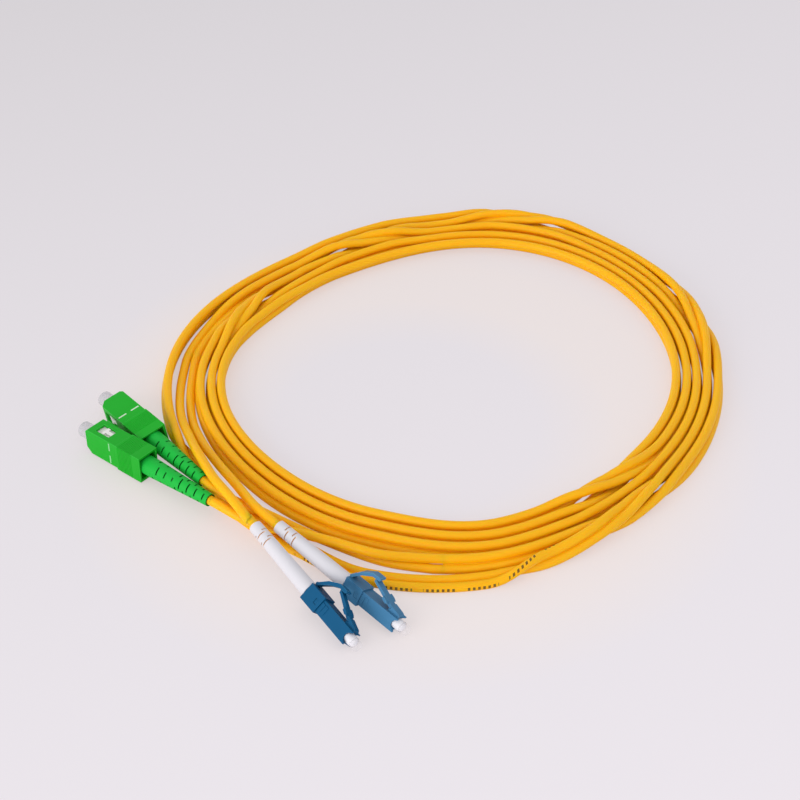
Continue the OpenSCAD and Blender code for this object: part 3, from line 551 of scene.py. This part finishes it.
def rounded_copy(node, edge, own_shape=None):
    """Copy of a CAD node with its doubles merged, its flat faces joined and each sharp edge
    rounded to the given radius in millimetres. own_shape may move the points, and says
    which edges between them stay crisp."""
    mesh = frame["nodes"][node].data.copy()
    mesh.materials.clear()
    shape = bmesh.new()
    shape.from_mesh(mesh)
    bmesh.ops.remove_doubles(shape, verts=shape.verts, dist=doubles_m)
    bmesh.ops.dissolve_limit(shape, angle_limit=flat_angle, verts=shape.verts, edges=shape.edges)
    shape.edges.ensure_lookup_table()
    turns = np.array([e.calc_face_angle(0.0) for e in shape.edges])
    shape.to_mesh(mesh)
    shape.free()
    points, ends = np.empty(len(mesh.vertices) * 3), np.empty(len(mesh.edges) * 2, int)
    mesh.vertices.foreach_get("co", points)
    mesh.edges.foreach_get("vertices", ends)
    points, ends = points.reshape(-1, 3), ends.reshape(-1, 2)
    crisp = np.zeros(len(points), bool)
    if own_shape:
        points, crisp = own_shape(points)
        mesh.vertices.foreach_set("co", points.ravel())
    sharp, plain = turns > sharp_angle, crisp[ends].all(axis=1)
    weight = mesh.attributes.new("bevel_weight_edge", "FLOAT", "EDGE")
    weight.data.foreach_set("value", (sharp & ~plain).astype(float))
    mesh.edges.foreach_set("use_edge_sharp", sharp & plain)
    mesh.polygons.foreach_set("use_smooth", np.ones(len(mesh.polygons), bool))
    piece = bpy.data.objects.new(f"{node}_moulding", mesh)
    scene.collection.objects.link(piece)
    bevel = piece.modifiers.new("rounded_edges", "BEVEL")
    bevel.width = edge * MM
    bevel.segments = 2
    bevel.limit_method = "WEIGHT"
    bevel.miter_outer = "MITER_ARC"
    # The rounded edges take the piece's second material; on the grips and LC mouldings that is a lighter
    # tone, a painted highlight
    bevel.material = 1
    piece.modifiers.new("even_shading", "WEIGHTED_NORMAL").keep_sharp = True
    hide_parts(node)
    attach(piece, node_body[node])
    return piece


def moulded_plastic(name, deep, light, shine):
    """Plastic with a slow drift between two tones, a fine uneven sheen and a fine grain."""
    plastic = Paint(name, IOR=1.5, Specular_IOR_Level=shine)
    plastic.feed(Base_Color=plastic.drift(60.0, deep, light))
    plastic.sheen(900.0, 0.34, 0.16, 3.0)
    plastic.grain(2600.0, 0.1, 0.0001)
    return plastic.material


def worn_ribs(plug):
    """Maker of a grip's own shape: the floors of its grooves are raised to the worn depth,
    and the ribs' edges stay crisp."""
    place, axes = plug_axes(plug)

    def own_shape(points):
        own = (points / MM - place) @ axes
        ribbed = (own[:, 0] > rib_run[0]) & (own[:, 0] < rib_run[1])
        for axis in (1, 2):
            floor_at = rib_half[axis - 1] - groove_depth
            low = ribbed & (np.abs(np.abs(own[:, axis]) - floor_at) < floor_band)
            own[low, axis] = np.sign(own[low, axis]) * (rib_half[axis - 1] - worn_depth)
        return (own @ axes.T + place) * MM, ribbed & (np.abs(own[:, 1:]) > rib_half - rib_band).any(axis=1)

    return own_shape


# The front plug's marks are darker and greener than the other's
mark_tones = {"sc_1": ("80C988", "9FD6A2"), "sc_2": ("C4DDBE", "D8E9D2")}
for plug, tones in mark_tones.items():
    grip = rounded_copy(f"{plug}_grip", 0.16, worn_ribs(plug))
    grip.data.materials.append(moulded_plastic(f"{plug}_green", "12A61E", "1BB12A", 0.16))
    # The rounded edges are painted a lighter green, as a highlight
    grip.data.materials.append(moulded_plastic(f"{plug}_green_painted_highlight", "2CB83A", "3CC24A", 0.16))
    marks = frame["nodes"][f"{plug}_marks"]
    ink = Paint(f"{plug}_mark_white", IOR=1.5)
    ink.feed(Base_Color=ink.drift(800.0, *tones))
    ink.sheen(1200.0, 0.4, 0.2)
    marks.data.materials.clear()
    marks.data.materials.append(ink.material)


# --- Boots ----------------------------------------------------------------
# Soft moulded sleeves that keep the cord from kinking where it enters each plug: slit
# all along on the SC plugs, and smooth but for a few slits near the tail on the LC.

# Diameter at the root and length of the straight part there, and diameter at the tail
boot_roots = {"sc": (6.2, 3.2), "lc": (5.2, 0.0)}
boot_tail = 4.2
# Two tones of the outside, and a painted tone for what lies deeper than the skin: painted shade
# in the slits of the SC boots, and on the LC boots a painted orange glow of light coming through
# from the cord; the collar that goes into the plug has the outer tones all through
boot_look = {"sc": ("12B43A", "1BBD44", "08601F"), "lc": ("D6D4D9", "DEDCE0", "EFC898")}
skin_depth, collar_margin = 0.14, 0.4
for number in (1, 2):
    for kind in ("sc", "lc"):
        plug = f"{kind}_{number}"
        boot = frame["nodes"][f"{plug}_boot"]
        first, second, slit = boot_look[kind]
        rubber = Paint(f"{plug}_boot_rubber", IOR=1.48, Specular_IOR_Level=0.2)
        x, y, z = rubber.axes(*plug_of[plug])
        radius = (y * y + z * z) ** 0.5
        root_d, straight = boot_roots[kind]
        slope = (root_d - boot_tail) / 2 / (boot_lengths[kind] - straight)
        outside = radius > (x * slope + (root_d / 2 + straight * slope - skin_depth))
        skin = outside + (x > -straight - collar_margin)
        # Below the skin the slit walls take the painted tone: shade on the SC boots, a glow of cord light
        # on the LC boots
        rubber.feed(Base_Color=rubber.mix(skin, srgb(slit), rubber.drift(40.0, first, second)))
        rubber.sheen(800.0, 0.42, 0.18, 3.0)
        rubber.grain(2200.0, 0.12, 0.0001)
        boot.data.materials.clear()
        boot.data.materials.append(rubber.material)
        tail = frame["nodes"][f"{plug}_jacket_end"]
        tail.data.materials.clear()
        tail.data.materials.append(jacket.material)


# --- LC bodies, triggers and latches --------------------------------------
# Blue mouldings: the rear body snaps over the front one, and the trigger's arch hangs
# over the tail of the springy latch.

# Deep and light tone of each plug, and of its edges, whose lighter tones are a painted highlight
blues = {
    "lc_1": ("095078", "0D5A84", "27739C", "327EA6", "lc_blue_dark"),
    # lc_2's blue is painted lighter than lc_1's for the light falling on its side; the two plugs are one
    # blue
    "lc_2": ("3C759D", "4780A7", "5A90B3", "669BBC", "lc_blue_light"),
}
# Two low plates stand on the outer side of the front body, before the rear body's lip
snap_runs = [(7.05, 8.4), (8.52, 9.9)]
snap_half_w, snap_corner_r, snap_sides = 1.5, 0.3, 32
# Distance from the plug's axis and inset of each ring of a plate
snap_rings = [(2.1, 0.0), (2.37, 0.0), (2.42, 0.05)]


def snap_plate(name, plug, rear_x, front_x):
    """Rounded rectangle carried out of the body's side: four quarter circles round the
    corners of a smaller rectangle, with the last ring stepped in."""
    place, axes = plug_axes(plug)
    t = (np.arange(snap_sides) + 0.5) * 2 * math.pi / snap_sides
    around = np.stack([np.cos(t), np.sin(t)], -1)
    inner = np.array([(front_x - rear_x) / 2, snap_half_w]) - snap_corner_r
    flat = [np.sign(around) * inner + around * (snap_corner_r - inset) for _, inset in snap_rings]
    own = np.stack([
        np.stack([(rear_x + front_x) / 2 + ring[:, 0], np.full(snap_sides, -reach), ring[:, 1]], -1)
        for ring, (reach, _) in zip(flat, snap_rings)
    ])
    return tube_mesh(name, own @ axes.T + place, np.array([reach for reach, _ in snap_rings]) * MM)


for plug, (deep, light, highlight_deep, highlight_light, slot_name) in blues.items():
    blue = moulded_plastic(f"{plug}_blue", deep, light, 0.14)
    blue_painted_highlight = moulded_plastic(f"{plug}_blue_painted_highlight", highlight_deep, highlight_light, 0.2)
    for part, edge in (("front_body", 0.12), ("rear_body", 0.16), ("trigger", 0.16), ("latch", 0.12)):
        moulding = rounded_copy(f"{plug}_{part}", edge)
        moulding.data.materials.append(blue)
        moulding.data.materials.append(blue_painted_highlight)
    for number, (rear_x, front_x) in enumerate(snap_runs, 1):
        plate = snap_plate(f"{plug}_snap_plate_{number}", plug, rear_x, front_x)
        plate.data.materials.append(blue)
        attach(plate, node_body[f"{plug}_front_body"])


# --- Dust caps ------------------------------------------------------------
# Thin caps of milky polyethylene pushed over the ferrules. The LC ones are thick and
# white round the ferrule and thin out to a clear tip, with a white dome inside.

# Cover of the thick and of the thin part, and where the one goes over into the other
cap_look, cap_fade = {"sc": (0.55, 0.48, 26.0), "lc": (0.96, 0.12, 21.9)}, 0.7
cap_tones = {"sc": ("C9C7CC", "D6D4D8"), "lc": ("E8E6EA", "F0EEF2")}
# Where the dome's foot is, where its curve begins, its height and radius, and its mesh
dome_foot, dome_from, dome_rise, dome_r = 20.6, 21.6, 1.5, 1.64
dome_rings, dome_sides = 12, 36


def cap_dome(plug, cap_body):
    """White dome inside an LC cap: a half ellipse turned about the plug's axis, closed by
    a fan at its tip and a disc at its foot."""
    place, axes = plug_axes(plug)
    rise = np.linspace(0.0, math.pi / 2, dome_rings)[:-1]
    along = np.concatenate([[dome_foot], dome_from + dome_rise * np.sin(rise)])
    radius = np.concatenate([[dome_r], dome_r * np.cos(rise)])
    t = np.linspace(0.0, 2 * math.pi, dome_sides, endpoint=False)
    ring = np.stack([
        np.broadcast_to(along[:, None], (dome_rings, dome_sides)),
        radius[:, None] * np.cos(t), radius[:, None] * np.sin(t),
    ], -1).reshape(-1, 3)
    own = np.concatenate([ring, [[dome_foot, 0, 0], [dome_from + dome_rise, 0, 0]]])
    points = (own @ axes.T + place) * MM
    grid = np.arange(dome_rings * dome_sides).reshape(dome_rings, dome_sides)
    after = np.roll(grid, -1, axis=1)
    walls = np.stack([grid[:-1], grid[1:], after[1:], after[:-1]], -1).reshape(-1, 4)
    foot = np.stack([np.full(dome_sides, len(ring)), grid[0], after[0]], -1)
    tip = np.stack([np.full(dome_sides, len(ring) + 1), after[-1], grid[-1]], -1)
    mesh = bpy.data.meshes.new(f"{plug}_cap_dome")
    mesh.from_pydata(points.tolist(), [], walls.tolist() + foot.tolist() + tip.tolist())
    shape = bmesh.new()
    shape.from_mesh(mesh)
    bmesh.ops.recalc_face_normals(shape, faces=shape.faces)
    shape.to_mesh(mesh)
    shape.free()
    mesh.polygons.foreach_set("use_smooth", np.ones(len(mesh.polygons), bool))
    dome = bpy.data.objects.new(f"{plug}_cap_dome", mesh)
    scene.collection.objects.link(dome)
    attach(dome, cap_body)
    return dome


for number in (1, 2):
    for kind, (thick, thin, border) in cap_look.items():
        plug = f"{kind}_{number}"
        cap = rounded_copy(f"{plug}_dust_cap", 0.25)
        milky = Paint(f"{plug}_cap_milky", IOR=1.45, Specular_IOR_Level=0.35)
        x, y, z = milky.axes(*plug_of[plug])
        milky.feed(Base_Color=milky.drift(120.0, *cap_tones[kind]))
        milky.sheen(500.0, 0.25, 0.15)
        milky.feed(Alpha=milky.node(
            "ShaderNodeMapRange", Value=x, i1=border, i2=border + cap_fade, i3=thick, i4=thin,
        ))
        cap.data.materials.append(milky.material)
        cap.data.materials.append(milky.material)
for plug in ("lc_1", "lc_2"):
    pale = Paint(f"{plug}_dome_white", IOR=1.45, Specular_IOR_Level=0.3)
    pale.feed(Base_Color=pale.drift(300.0, "E8E6EA", "F0EEF2"))
    pale.sheen(700.0, 0.35, 0.15)
    cap_dome(plug, node_body[f"{plug}_dust_cap"]).data.materials.append(pale.material)


# --- Frames, ferrules and inner metal -------------------------------------
# White glass-filled frames, ceramic ferrules in steel flanges, coil springs, nickelled
# posts, brass crimps and the white buffered fibre, each with its own finish.

# Of each finish: two tones, how metallic and how rough it is, and the scale of its grain
finishes = {
    "white_plastic": ("E9E7E2", "F2F0EC", 0.0, 0.35, 900.0),
    "zirconia": ("EFEDE8", "F7F6F2", 0.0, 0.12, 400.0),
    "steel": ("8E9092", "A9ABAE", 1.0, 0.3, 1500.0),
    "spring_steel": ("7C7E80", "96989B", 1.0, 0.26, 2000.0),
    "crimp_brass": ("B9A06A", "CDB57E", 1.0, 0.32, 1200.0),
    "fibre_white": ("F0EEE8", "F8F6F0", 0.0, 0.45, 800.0),
}
inner_slots = {
    "plug_frame": "white_plastic", "ferrule": "zirconia", "flange": "steel",
    "backpost": "steel", "crimp": "crimp_brass", "fibre": "fibre_white",
}
finish_material = {}
for slot_name, (deep, light, metal, rough, grain) in finishes.items():
    finish = Paint(slot_name, Metallic=metal, IOR=1.5)
    finish.feed(Base_Color=finish.drift(grain / 10, deep, light))
    finish.sheen(grain, rough, 0.15, 3.0)
    finish_material[slot_name] = finish.material
for plug in plug_of:
    for part, slot_name in inner_slots.items():
        inner = frame["nodes"].get(f"{plug}_{part}")
        if inner is not None:
            inner.data.materials.clear()
            inner.data.materials.append(finish_material[slot_name])

# Of each kind of plug: the curls' middle radius, the rear end and the climb
spring_runs = {"sc": (1.87, 6.73, 3.54), "lc": (1.25, 7.43, 4.34)}
spring_wire_r, spring_curls, ferrule_travel = 0.2, 5, 1.0
curl_steps, wire_sides = 24, 12


def spring_wire(plug, middle_r, start, rise):
    """Round wire carried along a helix about the plug's axis: it climbs evenly over all
    its curls, and each ring of the wire lies in a plane through the axis."""
    place, axes = plug_axes(plug)
    t = np.linspace(0.0, 2 * math.pi * spring_curls, curl_steps * spring_curls + 1)
    b = np.linspace(0.0, 2 * math.pi, wire_sides, endpoint=False)
    reach = middle_r + spring_wire_r * np.sin(b)[None, :]
    along = start + rise * t[:, None] / t[-1] + spring_wire_r * np.cos(b)[None, :]
    own = np.stack([along, reach * np.cos(t)[:, None], reach * np.sin(t)[:, None]], -1)
    return tube_mesh(f"{plug}_spring_wire", own @ axes.T + place, t * middle_r * MM)


for plug in plug_of:
    middle_r, start, rise = spring_runs[plug[:2]]
    wire = spring_wire(plug, middle_r, start, rise)
    wire.data.materials.append(finish_material["spring_steel"])
    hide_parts(f"{plug}_spring")
    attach(wire, node_body[f"{plug}_spring"])
    # The point on the plug's axis at the spring's rear end, and a mesh of the wire's own
    place, axes = plug_axes(plug)
    plug_way = axes[:, 0]
    anchor = (place + plug_way * (start - spring_wire_r)) * MM
    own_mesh(wire)


# --- Floor and light ------------------------------------------------------
# A pale table, one broad soft lamp low at the front left and an even pale room. The table's
# colour carries painted light: it is painted paler towards the camera and the right, and a
# painted warm glow lies beside the cord.
floor_mesh = bpy.data.meshes.new("floor")
far = 6.0
floor_mesh.from_pydata([(-far, -far, 0), (far, -far, 0), (far, far, 0), (-far, far, 0)], [], [(0, 1, 2, 3)])
floor = bpy.data.objects.new("floor", floor_mesh)
scene.collection.objects.link(floor)
table_top = Paint("pale_table", Roughness=0.9, Specular_IOR_Level=0.1)
x, y, _ = table_top.split(table_top.point())
right_share, middle_share = 0.6, 0.5
# Painted light: the table's colour grows paler towards the camera and the right, as if lit more there
nearer = x * right_share - y + middle_share
table_tone_and_painted_light = table_top.mix(nearer, srgb("D9D5D8"), srgb("F8F2F8"))
# A painted warm glow on a ring of the table, a little in front of the coil, stands for light
# that has come through the cord: its radius and shift, how fast it falls off from which height,
# and its strength
glow_r, glow_forward, glow_fall, glow_top, glow_share = 0.08, 0.01, 40.0, 1.45, 0.24
forward_y = y + glow_forward
ring = (x * x + forward_y * forward_y) ** 0.5
away = (ring - glow_r).calc("ABSOLUTE")
glow = (away * -glow_fall + glow_top).calc("MINIMUM", 1.0) * glow_share
table_tone_and_painted_light = table_top.mix(glow, table_tone_and_painted_light, srgb("FFEBD8"))
table_top.feed(Base_Color=table_tone_and_painted_light)
# Part of what the camera sees of the table is a glow of its painted colour, so shadows on it stay soft
own_share = 0.6
table_glow_for_camera = table_top.node("ShaderNodeEmission", Color=table_tone_and_painted_light)
seen = table_top.node("ShaderNodeLightPath") * own_share
lit = Sock(table_top, table_top.shader.outputs[0])
table = table_top.node("ShaderNodeMixShader", i0=seen, i1=lit, i2=table_glow_for_camera)
table_top.tree.links.new(table.socket, table_top.tree.nodes["Material Output"].inputs[0])
floor.data.materials.append(table_top.material)

room_tone, room_strength = (0.98, 0.975, 1.0, 1.0), 0.8
world = bpy.data.worlds.new("room")
scene.world = world
world.use_nodes = True
room = world.node_tree.nodes["Background"].inputs
room["Color"].default_value = room_tone
room["Strength"].default_value = room_strength

lamp_size, lamp_power, lamp_place = 0.9, 7.5, Vector((-0.78, -0.8, 0.3))
lamp_data = bpy.data.lights.new("front_left", "AREA")
lamp_data.size = lamp_size
lamp_data.energy = lamp_power
lamp = bpy.data.objects.new("front_left", lamp_data)
lamp.location = lamp_place
lamp.rotation_euler = (-lamp_place).to_track_quat("-Z", "Y").to_euler()
scene.collection.objects.link(lamp)
